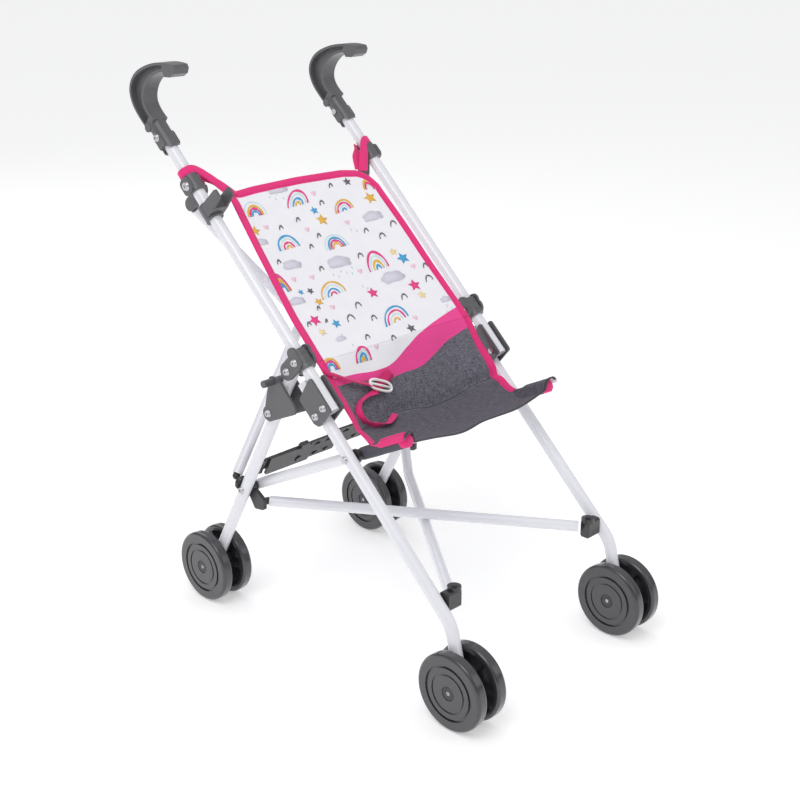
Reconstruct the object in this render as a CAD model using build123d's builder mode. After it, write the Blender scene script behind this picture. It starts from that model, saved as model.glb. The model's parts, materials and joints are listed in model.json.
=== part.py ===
"""Doll's umbrella buggy: two folding side frames, two pairs of crossed braces, a fabric sling seat.

Millimetres, +Z up. The buggy faces -Y and its right-hand side is at -X. The origin is on the floor
under the middle of the bounding box. Side-view points are written as (y, z) with y counted from the
front axle and z from the floor, and at() moves them into the frame.
"""
from build123d import *
import os

os.makedirs("parts", exist_ok=True)

# ---- driving dimensions ----
MIDDLE = 200.9          # front axle to the origin
TRACK = 118.6           # middle of the buggy to the plane of each side frame
WHEEL_R = 37.7
DISC_THICK = 12.0
PAIR_HALF = 19.0        # half the width of a pair of wheel discs
AXLE_R = 4.0
TUBE_R = 6.1            # handle tubes, front legs and rear legs
WALL = 1.1
SEAT_TUBE_R = 5.5
BRACE_R = 5.4
BALL_R = 4.0            # ball studs at the feet of the braces
SCREW_R = 2.0
HEAD_R = 3.9
FABRIC = 2.2

FRONT_HUB = (0.0, 37.7)
REAR_HUB = (350.7, 37.7)
LEG_PIVOT = (215.8, 286.2)      # rear leg on the upper bracket
UPPER_SCREW = (204.4, 297.5)    # upper bracket on the handle tube
HINGE = (167.3, 262.2)          # handle tube in the lower bracket
TUBE_FOOT = -57.4               # open lower end, counted up the handle tube
FRONT_SCREW = (177.8, 251.3)    # front leg in the lower bracket
STUB_TOP = (203.0, 275.9)
FRONT_BEND = (14.0, 94.0)
LINK_BOLT = (142.5, 217.0)      # seat tube on the front leg
LINK_FOOT = (295.4, 139.5)      # seat tube on the rear leg
CATCH_PIVOT = (243.9, 237.2)
GRIP_SCREW = (397.7, 482.5)
GRIP_FOOT = 251.5               # counted up the handle tube
TUBE_TOP = 281.8
BRACE_FOOT_Z = 149.0
SEAT_TUBE_X = 100.6
LOW_BALL = (101.0, 283.0, 124.0)
LOW_TIP = (94.0, 35.6, 107.0)
TIP_STEP = 4.0          # one bottom brace ends this much above LOW_TIP, the other as much below
SEAT_HALF = 94.4
BACK_HALF = 97.0

UP_TUBE = (0.7225, 0.6914)      # unit vector up the handle tube in side view
UP_LEG = (-0.4770, 0.8789)      # unit vector up the rear leg in side view


def at(y, z):
    return (y - MIDDLE, z)


def along_tube(up, behind=0.0):
    """Side-view point, counted up the handle tube from the upper screw and square behind it."""
    return (UPPER_SCREW[0] + up * UP_TUBE[0] + behind * UP_TUBE[1],
            UPPER_SCREW[1] + up * UP_TUBE[1] - behind * UP_TUBE[0])


def along_leg(down, behind=0.0):
    """Side-view point, counted down the rear leg from its pivot and square behind it."""
    return (LEG_PIVOT[0] - down * UP_LEG[0] + behind * UP_LEG[1],
            LEG_PIVOT[1] - down * UP_LEG[1] - behind * UP_LEG[0])


def point(out, p):
    """Point of the right-hand side frame, `out` from the middle of the buggy."""
    return Vector(-out, p[0] - MIDDLE, p[1])


def rod(start, end, radius, bore=0.0):
    """Straight rod or tube between two points."""
    run = end - start
    with BuildPart() as piece:
        with BuildSketch(Plane(origin=start, z_dir=run)):
            Circle(radius)
            if bore:
                Circle(bore, mode=Mode.SUBTRACT)
        extrude(amount=run.length)
    return piece.part


def pin(outer, inner, p, radius, bore=0.0):
    """Rod across the side frame, from `outer` to `inner`, both counted from the middle."""
    return rod(point(outer, p), point(inner, p), radius, bore)


def plate(outer, inner, corners, rounding=0.0):
    """Flat plate parallel to the side frame, between two distances from the middle."""
    with BuildPart() as piece:
        with BuildSketch(Plane.YZ.offset(-outer)):
            with BuildLine():
                if rounding:
                    FilletPolyline(*[at(*c) for c in corners], radius=rounding, close=True)
                else:
                    Polyline(*[at(*c) for c in corners], close=True)
            make_face()
        extrude(amount=outer - inner)
    return piece.part


def capsule(outer, inner, a, b, radius):
    """Plate with two round ends, between two side-view points."""
    with BuildPart() as piece:
        with BuildSketch(Plane.YZ.offset(-outer)):
            with Locations(at(*a), at(*b)):
                Circle(radius)
            make_hull()
        extrude(amount=outer - inner)
    return piece.part


def screw(outer, inner, p, radius=SCREW_R, head=HEAD_R):
    """Cross screw with a domed head outside and a nut inside, its shank from head to nut."""
    with BuildPart() as piece:
        with BuildSketch(Plane.YZ.offset(-outer)):
            with Locations(at(*p)):
                Circle(head)
        extrude(amount=-2.0, taper=28)
        with BuildSketch(Plane.YZ.offset(-outer)):
            with Locations(at(*p)):
                Circle(radius)
        extrude(amount=outer - inner)
        with BuildSketch(Plane.YZ.offset(-inner)):
            with Locations(at(*p)):
                RegularPolygon(radius=3.4, side_count=6)
        extrude(amount=1.8)
        with BuildSketch(Plane.YZ.offset(-outer - 2.0)):
            with Locations(at(*p)):
                Rectangle(3.4, 0.8)
                Rectangle(0.8, 3.4)
        extrude(amount=1.0, mode=Mode.SUBTRACT)
    return piece.part


def both_sides(name, piece):
    """Write a right-hand piece and its left-hand twin."""
    piece.part.label = "right_" + name
    export_step(piece.part, "parts/right_" + name + ".step")
    with BuildPart() as twin:
        mirror(piece.part, about=Plane.YZ)
    twin.part.label = "left_" + name
    export_step(twin.part, "parts/left_" + name + ".step")


def one(name, piece):
    piece.part.label = name
    export_step(piece.part, "parts/" + name + ".step")


# ---- rear legs: straight tubes from the pivot to the wheels ----
LEG_LENGTH = 282.8
with BuildPart() as rear_leg:
    add(rod(point(TRACK, along_leg(-2.5)), point(TRACK, along_leg(LEG_LENGTH + 8.0)),
            TUBE_R, TUBE_R - WALL))
    for p in (LEG_PIVOT, CATCH_PIVOT, LINK_FOOT):
        add(pin(TRACK + 9, TRACK - 9, p, SCREW_R + 0.05), mode=Mode.SUBTRACT)
    add(pin(TRACK + 9, TRACK - 9, REAR_HUB, AXLE_R + 0.05), mode=Mode.SUBTRACT)
both_sides("rear_leg", rear_leg)


def axle(hub):
    """Steel axle with a push-on cap at each end."""
    with BuildPart() as piece:
        add(pin(TRACK + 18.3, TRACK - 18.3, hub, AXLE_R))
        for outer, inner in ((TRACK + 18.7, TRACK + 17.4), (TRACK - 17.4, TRACK - 18.7)):
            add(pin(outer, inner, hub, 6.4))
        for side in (1, -1):
            with BuildSketch(Plane.YZ.offset(-TRACK - side * 18.7)):
                with Locations(at(*hub)):
                    Circle(1.6)
            extrude(amount=side * 1.0, mode=Mode.SUBTRACT)
    return piece


both_sides("rear_axle", axle(REAR_HUB))
both_sides("front_axle", axle(FRONT_HUB))


def disc(hub, side):
    """One wheel disc. side is +1 for the disc outside the leg and -1 for the one inside."""
    outer = TRACK + side * PAIR_HALF
    with BuildPart() as piece:
        with BuildSketch(Plane(origin=point(outer, hub), x_dir=(0, 1, 0), z_dir=(-side, 0, 0))):
            Circle(WHEEL_R)
        extrude(amount=-DISC_THICK)
        fillet(piece.edges().filter_by(GeomType.CIRCLE), radius=3.2)
        face = Plane(origin=point(outer, hub), x_dir=(0, 1, 0), z_dir=(-side, 0, 0))
        with BuildSketch(face):                                 # groove inside the tread
            Circle(0.724 * WHEEL_R)
            Circle(0.655 * WHEEL_R, mode=Mode.SUBTRACT)
        extrude(amount=-1.8, mode=Mode.SUBTRACT)
        with BuildSketch(face):                                 # step around the middle
            Circle(0.52 * WHEEL_R)
            Circle(0.47 * WHEEL_R, mode=Mode.SUBTRACT)
        extrude(amount=-0.9, mode=Mode.SUBTRACT)
        with BuildSketch(face):                                 # recess for the axle cap
            Circle(7.0)
        extrude(amount=-1.7, mode=Mode.SUBTRACT)
        back = face.offset(-DISC_THICK)
        with BuildSketch(back):                                 # hollow towards the leg
            Circle(32.0)
            Circle(9.5, mode=Mode.SUBTRACT)
            with PolarLocations(0, 6):
                with Locations((20.5, 0)):
                    Rectangle(25, 2.2, mode=Mode.SUBTRACT)
        extrude(amount=6.5, mode=Mode.SUBTRACT)
        with BuildSketch(face):
            Circle(AXLE_R + 0.06)
        extrude(amount=-DISC_THICK, mode=Mode.SUBTRACT)
    return piece.part


for end, hub in (("front_wheels", FRONT_HUB), ("rear_wheels", REAR_HUB)):
    with BuildPart() as pair:
        add(disc(hub, 1))
        add(disc(hub, -1))
    both_sides(end, pair)

# ---- handle tubes and grips ----
with BuildPart() as handle_tube:
    add(rod(point(TRACK, along_tube(TUBE_FOOT)), point(TRACK, along_tube(TUBE_TOP)),
            TUBE_R, TUBE_R - WALL))
    for p in (HINGE, UPPER_SCREW, along_tube(207.8), GRIP_SCREW):
        add(pin(TRACK + 9, TRACK - 9, p, SCREW_R + 0.05), mode=Mode.SUBTRACT)
both_sides("handle_tube", handle_tube)

HOOK_OUTER = [(413.0, 487.0), (426.0, 499.0), (437.0, 513.0), (439.5, 525.5), (432.0, 539.0),
              (416.0, 548.3), (398.0, 553.4), (381.0, 555.0), (366.5, 554.0)]
HOOK_TIP = [(364.5, 550.5), (366.5, 545.5), (372.5, 542.0), (381.0, 541.6)]
HOOK_INNER = [(384.5, 546.2), (397.5, 542.6), (408.5, 535.5), (415.5, 526.0), (417.0, 516.0),
              (413.0, 508.5), (402.5, 499.5)]
HOOK_HALF = 8.5
with BuildPart() as grip:
    with BuildSketch(Plane.YZ.offset(-TRACK - HOOK_HALF)) as hook:
        with BuildLine():
            s1 = Spline(*[at(*p) for p in HOOK_OUTER])
            s2 = Polyline(s1 @ 1, *[at(*p) for p in HOOK_TIP], at(*HOOK_INNER[0]))
            s3 = Spline(*[at(*p) for p in HOOK_INNER])
            Line(s3 @ 1, s1 @ 0)
        make_face()
    extrude(amount=2 * HOOK_HALF)
    for x, depth in ((TRACK + HOOK_HALF, 6.0), (TRACK - HOOK_HALF, -6.0)):   # recessed web
        with BuildSketch(Plane.YZ.offset(-x)):
            with BuildLine():
                t1 = Spline(*[at(*p) for p in [(416.5, 492.5), (424.5, 500.3), (434.4, 513.6),
                                               (436.7, 525.0), (430.0, 536.8), (415.0, 545.6),
                                               (397.5, 550.8), (384.0, 552.3)]])
                t2 = Line(t1 @ 1, at(385.5, 548.9))
                t3 = Spline(t2 @ 1, *[at(*p) for p in [(398.6, 545.2), (410.7, 537.3),
                                                       (418.3, 526.6), (419.8, 515.2),
                                                       (415.5, 506.6), (410.0, 501.8)]])
                Line(t3 @ 1, t1 @ 0)
            make_face()
        extrude(amount=depth, mode=Mode.SUBTRACT)
    add(rod(point(TRACK, along_tube(GRIP_FOOT)), point(TRACK, along_tube(286.5)), 9.0))     # sleeve
    add(capsule(TRACK + 9.6, TRACK - 9.6, GRIP_SCREW, along_tube(258.0), 5.2))
    add(pin(TRACK + 9.4, TRACK - 9.4, along_tube(283.5, 4.0), 4.6))             # moulded boss
    add(rod(point(TRACK, along_tube(240.0)), point(TRACK, along_tube(283.0)), TUBE_R + 0.05),
        mode=Mode.SUBTRACT)
    add(pin(TRACK + 11, TRACK - 11, GRIP_SCREW, SCREW_R + 0.05), mode=Mode.SUBTRACT)
    with BuildSketch(Plane(origin=point(TRACK + 12, along_tube(GRIP_FOOT - 2.0)), x_dir=(0, 1, 0),
                           z_dir=(1, 0, 0))):                                     # saddle-cut mouth
        Circle(6.5)
    extrude(amount=24, mode=Mode.SUBTRACT)
both_sides("grip", grip)

# ---- upper bracket: sleeve on the handle tube, with ears for the rear leg ----
with BuildPart() as upper_bracket:
    add(rod(point(TRACK, along_tube(-10.0)), point(TRACK, along_tube(10.0)), 9.0))
    for outer, inner in ((TRACK + 10.0, TRACK + 7.0), (TRACK - 7.0, TRACK - 10.0)):
        add(capsule(outer, inner, UPPER_SCREW, LEG_PIVOT, 8.6))
        add(capsule(outer, inner, along_tube(8.0, -3.0), UPPER_SCREW, 6.0))
    for up in (-5.0, 4.0):                                      # moulded ridges
        add(rod(point(TRACK, along_tube(up)), point(TRACK, along_tube(up + 2.0)), 9.4))
    add(rod(point(TRACK, along_tube(-20.0)), point(TRACK, along_tube(20.0)), TUBE_R + 0.05),
        mode=Mode.SUBTRACT)
    add(pin(TRACK + 7.0, TRACK - 7.0, LEG_PIVOT, 7.0), mode=Mode.SUBTRACT)
    for p in (UPPER_SCREW, LEG_PIVOT):
        add(pin(TRACK + 12, TRACK - 12, p, SCREW_R + 0.05), mode=Mode.SUBTRACT)
both_sides("upper_bracket", upper_bracket)

# ---- top brackets: they carry the upper ends of the crossed rear braces ----
BRACE_FOOT = (310.0, BRACE_FOOT_Z)
REAR_BACK = (0.9807, -0.1954)           # backwards, square to the plane of the rear braces
TOP_X = 106.0


def brace_line(low_shift, high_shift, out):
    """Side-view point of a rear brace at `out` from the middle, on the side where it is high."""
    t = (TRACK + out) / (2 * TRACK)
    shift = low_shift + (high_shift - low_shift) * t
    return (BRACE_FOOT[0] + (366.0 - BRACE_FOOT[0]) * t + shift * REAR_BACK[0],
            BRACE_FOOT[1] + (430.0 - BRACE_FOOT[1]) * t + shift * REAR_BACK[1])


RIGHT_BRACE = (0.0, -10.0)              # runs low right to high left, in front at the crossing
LEFT_BRACE = (4.0, 9.0)                 # runs low left to high right, behind at the crossing
for side, shifts, name in ((-1, LEFT_BRACE, "right_top_bracket"), (1, RIGHT_BRACE, "left_top_bracket")):
    end = brace_line(*shifts, TOP_X)
    far = brace_line(*shifts, TOP_X + 4.0)
    centre = along_tube(207.8)
    with BuildPart() as bracket:
        add(rod(point(TRACK, along_tube(199.0)), point(TRACK, along_tube(216.5)), 8.8))
        add(plate(TRACK + 9.8, TRACK + 6.4, [along_tube(199.5, -7), along_tube(216.5, -7),
                                             along_tube(216.5, 8), along_tube(199.5, 8)], 5.0))
        add(capsule(TRACK - 6.2, TOP_X + 1.2, along_tube(204.0, 4.0), far, 6.5))
        add(rod(point(TRACK, along_tube(180.0)), point(TRACK, along_tube(240.0)), TUBE_R + 0.05),
            mode=Mode.SUBTRACT)
        add(pin(TRACK + 14, TRACK - 20, centre, SCREW_R + 0.05), mode=Mode.SUBTRACT)
        add(pin(TRACK - 8.9, TRACK - 20, centre, 4.2), mode=Mode.SUBTRACT)          # room for the nut
        # the brace ends just short of its seat, so the seat's face is cut square to it
        low = Vector(TRACK, *at(*brace_line(*shifts, -TRACK)))
        top = Vector(-TOP_X, *at(*end))
        aim = (top - low).normalized()
        add(rod(top - aim * 20, top + aim * 0.8, BRACE_R + 2.5), mode=Mode.SUBTRACT)
    if side == -1:
        one(name, bracket)
    else:
        with BuildPart() as twin:
            mirror(bracket.part, about=Plane.YZ)
        one(name, twin)

# ---- front legs: a long stub behind the handle tube, a run parallel to it, a bend to the wheel ----
with BuildPart() as front_leg:
    with BuildLine(Plane.YZ.offset(-TRACK)) as run:
        FilletPolyline(at(*STUB_TOP), at(*FRONT_BEND), at(-3.2, 25.0), radius=34)
    with BuildSketch(Plane(origin=run.line @ 0, z_dir=run.line % 0)):
        Circle(TUBE_R)
        Circle(TUBE_R - WALL, mode=Mode.SUBTRACT)
    sweep()
    for p in (FRONT_SCREW, LINK_BOLT):
        add(pin(TRACK + 9, TRACK - 9, p, SCREW_R + 0.05), mode=Mode.SUBTRACT)
    add(pin(TRACK + 9, TRACK - 9, FRONT_HUB, AXLE_R + 0.05), mode=Mode.SUBTRACT)
both_sides("front_leg", front_leg)

# ---- lower bracket: a channel that holds the front leg and turns on the foot of the handle tube ----
CHANNEL = [along_tube(-20.5, -7.0), along_tube(-27.5, 22.0), along_tube(-55.0, 22.0),
           along_tube(-61.0, 18.0), along_tube(-59.0, -7.0)]
with BuildPart() as lower_bracket:
    for outer, inner in ((TRACK + 9.2, TRACK + 7.0), (TRACK - 7.0, TRACK - 9.2)):
        add(plate(outer, inner, CHANNEL, 3.0))
        add(pin(outer, inner, FRONT_SCREW, 6.0))
    add(plate(TRACK + 8.0, TRACK - 8.0, [along_tube(-29.0, 22.0), along_tube(-29.0, 23.6),
                                         along_tube(-54.0, 23.6), along_tube(-54.0, 22.0)]))
    for p in (HINGE, FRONT_SCREW):
        add(pin(TRACK + 12, TRACK - 12, p, SCREW_R + 0.05), mode=Mode.SUBTRACT)
both_sides("lower_bracket", lower_bracket)

# ---- front bracket: lug on the inner side of the front leg, for the bottom brace ----
with BuildPart() as front_bracket:
    add(plate(TRACK - TUBE_R - 0.1, 95.5, [(22.5, 100.5), (33.5, 100.5), (33.5, 118.5), (22.5, 118.5)], 2.5))
    add(rod(Vector(-99.5, 28.0 - MIDDLE, 117.0), Vector(-99.5, 28.0 - MIDDLE, 121.0), 6.6))
    ball = Vector(-LOW_TIP[0], LOW_TIP[1] - MIDDLE, LOW_TIP[2])
    toe = Vector(LOW_BALL[0], LOW_BALL[1] - MIDDLE, LOW_BALL[2])
    aim = (ball - toe).normalized()
    add(rod(ball - aim * 10, ball + aim * 1.4, BRACE_R + 8.0), mode=Mode.SUBTRACT)
    with BuildSketch(Plane.XY.offset(121.0)):
        with Locations((-99.5, 28.0 - MIDDLE)):
            Circle(3.6)
    extrude(amount=1.8, taper=20)
both_sides("front_bracket", front_bracket)

# ---- link spacer on the inner side of the front leg, and the seat tube ----
with BuildPart() as link_spacer:
    add(pin(TRACK - TUBE_R - 0.1, 109.0, LINK_BOLT, 7.0, SCREW_R + 0.05))
    add(pin(109.0, 106.6, LINK_BOLT, 5.6, SCREW_R + 0.05))
both_sides("link_spacer", link_spacer)

LINK = Vector(LINK_BOLT[0] - LINK_FOOT[0], LINK_BOLT[1] - LINK_FOOT[1]).normalized()


def along_seat(d, lift=0.0):
    return (LINK_FOOT[0] + LINK.X * d + LINK.Y * lift, LINK_FOOT[1] + LINK.Y * d - LINK.X * lift)


with BuildPart() as seat_tube:
    add(rod(point(SEAT_TUBE_X, along_seat(-7.5)), point(SEAT_TUBE_X, along_seat(236.0)),
            SEAT_TUBE_R, SEAT_TUBE_R - 1.0))
    add(pin(SEAT_TUBE_X + 9, SEAT_TUBE_X - 9, LINK_FOOT, SCREW_R + 0.05), mode=Mode.SUBTRACT)
both_sides("seat_tube", seat_tube)

# ---- rear bracket: cup on the inner side of the rear leg, with the ball stud of the bottom brace ----
with BuildPart() as rear_bracket:
    add(pin(TRACK - TUBE_R - 0.1, 106.5, LINK_FOOT, 5.9))
    add(plate(TRACK - TUBE_R - 0.1, 108.2, [(297, 143), (276, 130), (276, 119), (290, 117), (301, 134)], 2.5))
    add(pin(TRACK + 3, 104, LINK_FOOT, SCREW_R + 0.05), mode=Mode.SUBTRACT)
    add(pin(108.6, LOW_BALL[0], LOW_BALL[1:], 1.6))
    with Locations(point(LOW_BALL[0], LOW_BALL[1:])):
        Sphere(BALL_R)
both_sides("rear_bracket", rear_bracket)

# ---- braces ----
GAP = 2.4       # from the middle of a ball to the mouth of its tube


def brace_tube(points):
    """Tube along straight runs, open at its first end."""
    start = points[0] + (points[1] - points[0]).normalized() * GAP
    with BuildPart() as piece:
        if len(points) == 2:
            add(rod(start, points[1], BRACE_R, BRACE_R - 0.9))
        else:
            with BuildLine() as run:
                FilletPolyline(start, *points[1:], radius=40)
            with BuildSketch(Plane(origin=run.line @ 0, z_dir=run.line % 0)):
                Circle(BRACE_R)
                Circle(BRACE_R - 0.9, mode=Mode.SUBTRACT)
            sweep()
    return piece


for side, shifts, name in ((-1, RIGHT_BRACE, "right"), (1, LEFT_BRACE, "left")):
    foot = brace_line(*shifts, -TRACK)
    top = brace_line(*shifts, TOP_X)
    low = Vector(side * TRACK, *at(*foot))
    high = Vector(-side * TOP_X, *at(*top))
    one(name + "_rear_brace", brace_tube([low, high]))
    # stepped spacer and ball stud behind the rear leg
    square = Vector(0, UP_LEG[1], -UP_LEG[0])
    reach = (foot[0] - LEG_PIVOT[0]) * UP_LEG[1] - (foot[1] - LEG_PIVOT[1]) * UP_LEG[0]
    root = low - square * reach
    with BuildPart() as foot_piece:
        add(rod(root + square * (TUBE_R + 0.1), root + square * (TUBE_R + 2.6), 8.0))
        add(rod(root + square * (TUBE_R + 2.6), low - square * (BRACE_R + 0.6), 6.0))
        add(rod(root + square * (TUBE_R + 1.0), low, 2.2))
        with Locations(low):
            Sphere(BALL_R)
    one(name + "_brace_foot", foot_piece)

LOW_KINK = (78.0, 256.0, 107.0)
toe = Vector(-LOW_BALL[0], LOW_BALL[1] - MIDDLE, LOW_BALL[2])
tip = Vector(LOW_TIP[0], LOW_TIP[1] - MIDDLE, LOW_TIP[2] + TIP_STEP)
one("right_bottom_brace", brace_tube([toe, tip]))
toe = Vector(LOW_BALL[0], LOW_BALL[1] - MIDDLE, LOW_BALL[2])
tip = Vector(-LOW_TIP[0], LOW_TIP[1] - MIDDLE, LOW_TIP[2] - TIP_STEP)
kink = Vector(LOW_KINK[0], LOW_KINK[1] - MIDDLE, LOW_KINK[2])
one("left_bottom_brace", brace_tube([toe, kink, tip]))

# ---- lock bar: two ribbed arms that meet in the middle, behind the seat tubes ----
ARM_PIVOT = 107.4
ARM_DOWN = 141.5


def leg_plane(behind):
    """Plane parallel to both rear legs: X to the right-hand side, Y up the legs, Z backwards."""
    p = along_leg(0.0, behind)
    return Plane(origin=(0, *at(*p)), x_dir=(-1, 0, 0), z_dir=(0, UP_LEG[1], -UP_LEG[0]))


def arm(front, back, sleeve):
    """One arm, as for the right-hand side: x from 0 in the middle to ARM_PIVOT at the leg."""
    thick = back - front
    with BuildPart() as piece:
        with BuildSketch(leg_plane(front)):
            with BuildLine():
                FilletPolyline((0.6, -132.5), (ARM_PIVOT - 6, -134.5), (ARM_PIVOT - 6, -148.5),
                               (88.0, -150.5), (80.0, -157.0), (0.6, -157.0), radius=1.5, close=True)
            make_face()
            with Locations((ARM_PIVOT, -ARM_DOWN)):
                Circle(5.2)
            with Locations((ARM_PIVOT - 5, -ARM_DOWN)):
                Rectangle(9, 10.4)
            with Locations((ARM_PIVOT, -ARM_DOWN)):
                Circle(1.9, mode=Mode.SUBTRACT)
        extrude(amount=thick)
        for x in (14.0, 30.0, 46.0, 62.0):                      # triangular pockets between ribs
            with BuildSketch(leg_plane(front)):
                with Locations((x, -137.6)):
                    Triangle(a=11, b=7.6, c=7.6)
                with Locations((x, -151.6)):
                    Triangle(a=11, b=7.6, c=7.6, rotation=180)
            extrude(amount=1.2, mode=Mode.SUBTRACT)
        if sleeve:
            with BuildSketch(leg_plane(front)):
                with Locations((68.0, -144.5)):
                    RectangleRounded(58, 24, 2)
            extrude(amount=-2.4)
            with BuildSketch(leg_plane(front - 2.4)):
                with Locations((54.3, -149.5)):
                    Circle(4.0)
            extrude(amount=-1.2)
            with BuildSketch(leg_plane(front + 0.4)):
                with Locations((53.5, -129.6)):
                    RectangleRounded(12, 7, 2)
            extrude(amount=-5.0)
    return piece


with BuildPart() as right_arm:
    add(arm(2.9, 5.3, True).part)
one("right_lock_arm", right_arm)
with BuildPart() as left_arm:
    mirror(arm(5.7, 8.1, False).part, about=Plane.YZ)
one("left_lock_arm", left_arm)

for side, back, name in ((-1, 5.5, "right_lock_mount"), (1, 8.3, "left_lock_mount")):
    with BuildPart() as mount:
        with BuildSketch(leg_plane(2.5)):
            with BuildLine():
                Polyline((106.4, -136.0), (112.9, -136.0), (112.9, -147.0), (106.4, -147.0), close=True)
            make_face()
        extrude(amount=-4.5)
        with BuildSketch(leg_plane(back)):
            with Locations((ARM_PIVOT, -ARM_DOWN)):
                Circle(1.8)
        extrude(amount=1.0 - back)
        with BuildSketch(leg_plane(back + 0.9)):
            with Locations((ARM_PIVOT, -ARM_DOWN)):
                Circle(3.0)
        extrude(amount=-0.9)
        add(rod(point(TRACK, along_leg(120)), point(TRACK, along_leg(160)), TUBE_R + 0.05),
            mode=Mode.SUBTRACT)
    if side == -1:
        one(name, mount)
    else:
        with BuildPart() as twin:
            mirror(mount.part, about=Plane.YZ)
        one(name, twin)

# ---- side catches: two plates over the rear leg, joined by a finger peg ----
CATCH = [(248.0, 243.0), (250.0, 236.0), (243.0, 229.0), (205.5, 246.0), (204.5, 253.0),
         (229.0, 276.5), (240.5, 276.5)]
with BuildPart() as catch:
    for outer, inner in ((TRACK + 10.4, TRACK + 7.9), (TRACK - 7.9, TRACK - 10.4)):
        add(plate(outer, inner, CATCH, 3.2))
        add(pin(outer, inner, CATCH_PIVOT, 7.4))
    add(pin(TRACK + 22.5, TRACK - 9.0, (235.5, 272.0), 3.6))
    add(pin(TRACK + 12, TRACK - 12, CATCH_PIVOT, SCREW_R + 0.05), mode=Mode.SUBTRACT)
both_sides("catch", catch)

# ---- storage clip on the right-hand handle tube ----
with BuildPart() as storage_clip:
    add(rod(point(TRACK, along_tube(166.0)), point(TRACK, along_tube(183.0)), 9.2))
    add(plate(TRACK + 9.2, TRACK - 9.2, [along_tube(168, -3), along_tube(168, -16.2),
                                         along_tube(181, -16.2), along_tube(181, -3)]))
    for outer, inner in ((TRACK + 9.2, TRACK + 6.7), (TRACK - 6.7, TRACK - 9.2)):
        add(plate(outer, inner, [along_tube(168, -12), along_tube(169.5, -32),
                                 along_tube(179.5, -32), along_tube(181, -12)], 2.0))
    add(rod(point(TRACK, along_tube(150.0)), point(TRACK, along_tube(200.0)), TUBE_R + 0.05),
        mode=Mode.SUBTRACT)
one("storage_clip", storage_clip)

# ---- screws, one group for each moving frame member ----
with BuildPart() as handle_screws:
    add(screw(TRACK + 10.1, TRACK - 10.1, UPPER_SCREW))
    add(screw(TRACK + 9.9, TRACK - 9.0, along_tube(207.8), head=4.8))
    add(screw(TRACK + 9.7, TRACK - 9.7, GRIP_SCREW))
    add(screw(TRACK + 9.3, TRACK - 9.3, HINGE))
both_sides("handle_screws", handle_screws)
with BuildPart() as rear_screws:
    add(screw(TRACK + 10.1, TRACK - 10.1, LEG_PIVOT))
    add(screw(TRACK + 10.5, TRACK - 10.5, CATCH_PIVOT))
    add(screw(TRACK + 6.2, SEAT_TUBE_X - SEAT_TUBE_R - 0.2, LINK_FOOT))
both_sides("rear_screws", rear_screws)
with BuildPart() as front_screws:
    add(screw(TRACK + 9.3, TRACK - 9.3, FRONT_SCREW))
    with BuildSketch(Plane.YZ.offset(-TRACK - 6.2)):
        with Locations(at(*LINK_BOLT)):
            Circle(HEAD_R)
    extrude(amount=-2.0, taper=28)
    add(pin(TRACK + 6.2, 106.8, LINK_BOLT, SCREW_R))
both_sides("front_screws", front_screws)

# ---- fabric sling: back panel, seat, hanging straps ----
with BuildPart() as seat_back:
    add(plate(BACK_HALF, -BACK_HALF, [along_tube(-9.0, -4.0), along_tube(190.0, -4.0),
                                      along_tube(190.0, -4.0 - FABRIC), along_tube(-9.0, -4.0 - FABRIC)]))
one("seat_back", seat_back)

SLING = [(192.5, 288.0), (184.0, 268.0), (174.0, 247.0), (165.0, 231.0), (146.0, 222.0),
         (125.0, 221.0), (105.0, 226.0), (88.0, 233.0)]
with BuildPart() as seat_base:
    with BuildSketch(Plane.YZ.offset(-SEAT_HALF)):
        with BuildLine():
            Spline(*[at(*p) for p in SLING])
        trace(line_width=FABRIC)
    extrude(amount=2 * SEAT_HALF)
one("seat_base", seat_base)

STRAP_PLANE = Plane(origin=(0, *at(*along_tube(0, -4.0))), x_dir=(-1, 0, 0),
                    z_dir=(0, -UP_TUBE[1], UP_TUBE[0]))
with BuildPart() as back_strap:
    with BuildSketch(STRAP_PLANE):
        with BuildLine():
            Polyline((96.0, -190.8), (84.0, -190.8), (106.5, -222.0), (109.0, -214.0), close=True)
        make_face()
    extrude(amount=2.0)
both_sides("back_strap", back_strap)

with BuildPart() as lap_strap:
    add(rod(Vector(-93.0, *at(166.0, 262.0)), Vector(0.0, *at(137.0, 228.0)), 2.0))
one("lap_strap", lap_strap)
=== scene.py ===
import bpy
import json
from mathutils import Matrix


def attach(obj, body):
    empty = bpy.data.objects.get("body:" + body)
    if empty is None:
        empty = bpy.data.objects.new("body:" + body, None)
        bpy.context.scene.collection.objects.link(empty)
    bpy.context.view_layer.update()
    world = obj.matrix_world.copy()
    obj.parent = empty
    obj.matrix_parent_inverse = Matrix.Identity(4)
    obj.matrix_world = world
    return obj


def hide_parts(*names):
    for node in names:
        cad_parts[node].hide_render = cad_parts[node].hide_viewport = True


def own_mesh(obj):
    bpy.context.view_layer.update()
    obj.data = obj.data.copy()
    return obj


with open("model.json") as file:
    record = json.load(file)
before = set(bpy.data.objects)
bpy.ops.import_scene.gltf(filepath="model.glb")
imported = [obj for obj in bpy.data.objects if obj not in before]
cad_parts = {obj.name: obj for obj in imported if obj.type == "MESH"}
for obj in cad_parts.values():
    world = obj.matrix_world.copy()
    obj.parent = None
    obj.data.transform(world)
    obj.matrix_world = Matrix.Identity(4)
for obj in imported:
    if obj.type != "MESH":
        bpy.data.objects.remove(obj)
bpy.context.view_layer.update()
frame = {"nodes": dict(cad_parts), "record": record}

import json
import math
import bpy
import numpy as np
from mathutils import Vector, noise

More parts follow.
